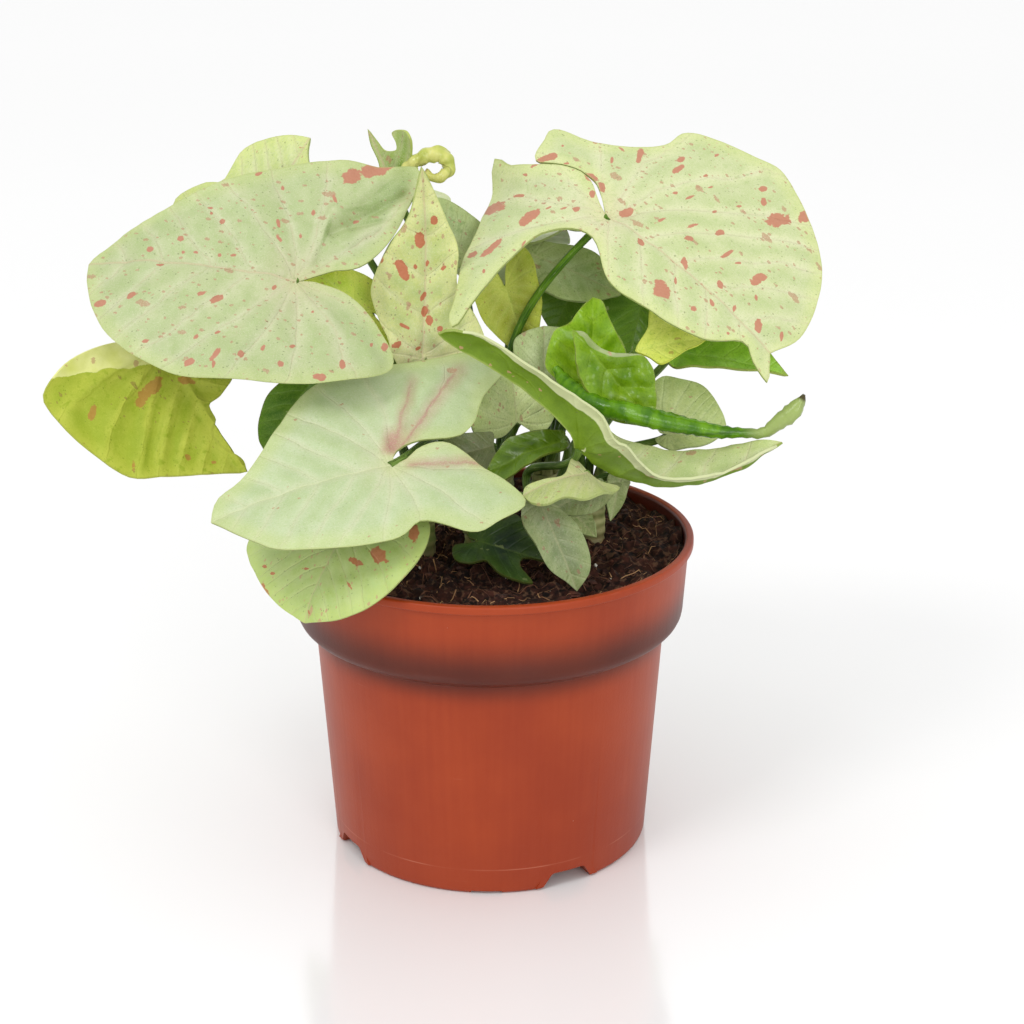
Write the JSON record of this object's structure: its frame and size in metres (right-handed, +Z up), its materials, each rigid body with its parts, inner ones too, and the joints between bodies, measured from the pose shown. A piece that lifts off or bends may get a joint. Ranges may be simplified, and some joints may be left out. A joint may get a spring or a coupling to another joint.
{
  "type": "potted syngonium",
  "caption": "Syngonium houseplant with arrow- and heart-shaped variegated leaves on slim stalks, growing from short stems in soil in a round tapered plastic nursery pot",
  "frame": {"origin": "on the pot's axis, at the middle of its flat underside, on the ground", "axes": "+Z is up along the pot's axis, and -Y points to the front of the plant, the side that the picture shows"},
  "size_m": [0.2173, 0.1623, 0.2104],
  "materials": {
    "pot": "satin terracotta-coloured plastic",
    "soil": null,
    "stem_left": null,
    "stem_front": null,
    "stem_front_right": null,
    "stem_right": null,
    "stem_centre": null,
    "stem_back_left": null,
    "stem_back_right": null,
    "leaf_big_left": null,
    "leaf_front_left": null,
    "leaf_big_right": null,
    "leaf_upright_middle": null,
    "leaf_far_left": null,
    "leaf_rim_left": null,
    "leaf_behind_left": null,
    "leaf_top_curl": null,
    "leaf_yellow_left": null,
    "leaf_grey_middle": null,
    "leaf_under_right": null,
    "leaf_yellow_under": null,
    "leaf_boat": null,
    "leaf_young_front": null,
    "leaf_young_back": null,
    "leaf_yellow_right": null,
    "leaf_dark_right": null,
    "leaf_grey_right": null,
    "leaf_spotted_middle": null,
    "leaf_folded_middle": null,
    "leaf_grey_low": null,
    "leaf_green_bend": null,
    "leaf_pale_low": null,
    "leaf_shade_low": null,
    "leaf_hanging_front": null,
    "leaf_dark_low": null,
    "leaf_small_right": null,
    "leaf_drop_right": null,
    "leaf_dark_left": null,
    "leaf_dark_back_a": null,
    "leaf_dark_back_b": null,
    "leaf_rear_left": null,
    "leaf_rear_right": null,
    "leaf_rear_middle": null,
    "leaf_rear_low_left": null,
    "leaf_rear_low_right": null
  },
  "bodies": {
    "root": {"pot": "pot", "soil": "soil", "stem_left": "stem_left", "stem_front": "stem_front", "stem_front_right": "stem_front_right", "stem_right": "stem_right", "stem_centre": "stem_centre", "stem_back_left": "stem_back_left", "stem_back_right": "stem_back_right", "leaf_big_left": "leaf_big_left", "leaf_front_left": "leaf_front_left", "leaf_big_right": "leaf_big_right", "leaf_upright_middle": "leaf_upright_middle", "leaf_far_left": "leaf_far_left", "leaf_rim_left": "leaf_rim_left", "leaf_behind_left": "leaf_behind_left", "leaf_top_curl": "leaf_top_curl", "leaf_yellow_left": "leaf_yellow_left", "leaf_grey_middle": "leaf_grey_middle", "leaf_under_right": "leaf_under_right", "leaf_yellow_under": "leaf_yellow_under", "leaf_boat": "leaf_boat", "leaf_young_front": "leaf_young_front", "leaf_young_back": "leaf_young_back", "leaf_yellow_right": "leaf_yellow_right", "leaf_dark_right": "leaf_dark_right", "leaf_grey_right": "leaf_grey_right", "leaf_spotted_middle": "leaf_spotted_middle", "leaf_folded_middle": "leaf_folded_middle", "leaf_grey_low": "leaf_grey_low", "leaf_green_bend": "leaf_green_bend", "leaf_pale_low": "leaf_pale_low", "leaf_shade_low": "leaf_shade_low", "leaf_hanging_front": "leaf_hanging_front", "leaf_dark_low": "leaf_dark_low", "leaf_small_right": "leaf_small_right", "leaf_drop_right": "leaf_drop_right", "leaf_dark_left": "leaf_dark_left", "leaf_dark_back_a": "leaf_dark_back_a", "leaf_dark_back_b": "leaf_dark_back_b", "leaf_rear_left": "leaf_rear_left", "leaf_rear_right": "leaf_rear_right", "leaf_rear_middle": "leaf_rear_middle", "leaf_rear_low_left": "leaf_rear_low_left", "leaf_rear_low_right": "leaf_rear_low_right"}
  },
  "joints": []
}
